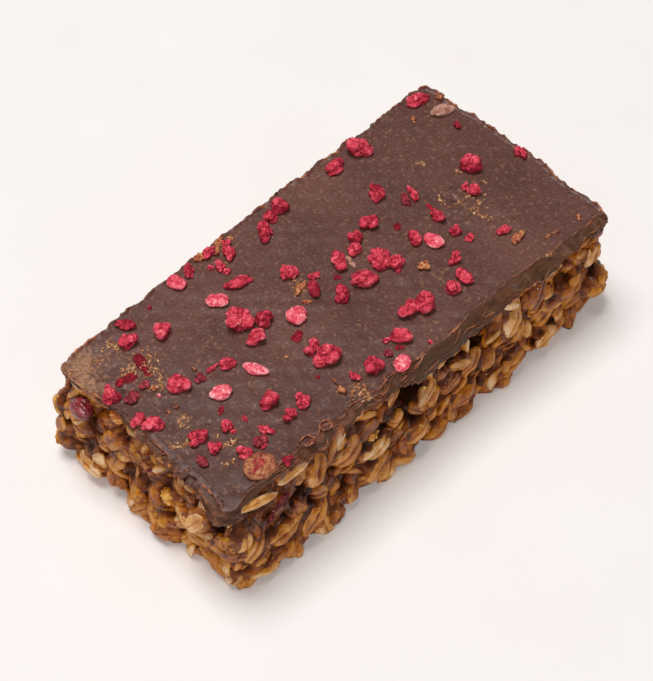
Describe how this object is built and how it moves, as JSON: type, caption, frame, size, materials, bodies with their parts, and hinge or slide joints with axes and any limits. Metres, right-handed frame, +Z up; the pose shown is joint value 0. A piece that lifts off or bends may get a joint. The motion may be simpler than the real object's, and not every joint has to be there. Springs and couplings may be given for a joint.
{
  "type": "granola bar",
  "caption": "Rectangular pressed oat bar with uneven sides under a layer of dark chocolate, with crumbs of dried raspberry on top.",
  "frame": {"origin": "middle of the underside's bounding rectangle, on the surface that the bar rests on", "axes": "+X along the bar towards its slightly wider end, +Y across it, +Z up through the chocolate"},
  "size_m": [0.1076, 0.0554, 0.029],
  "materials": {
    "baked_oats": "rolled oats baked in golden syrup, glossy where the syrup lies",
    "dark_chocolate": "set dark chocolate with a satin skin",
    "dried_raspberry": "freeze-dried raspberry, dry and finely beaded",
    "dried_fruit": "dried red berry with a wrinkled, sugary skin"
  },
  "bodies": {
    "root": {"oat_layer": "baked_oats", "chocolate_layer": "dark_chocolate", "dried_berry": "dried_fruit", "raspberry_piece_1": "dried_raspberry", "raspberry_piece_2": "dried_raspberry", "raspberry_piece_3": "dried_raspberry", "raspberry_half": "dried_raspberry"}
  },
  "joints": []
}
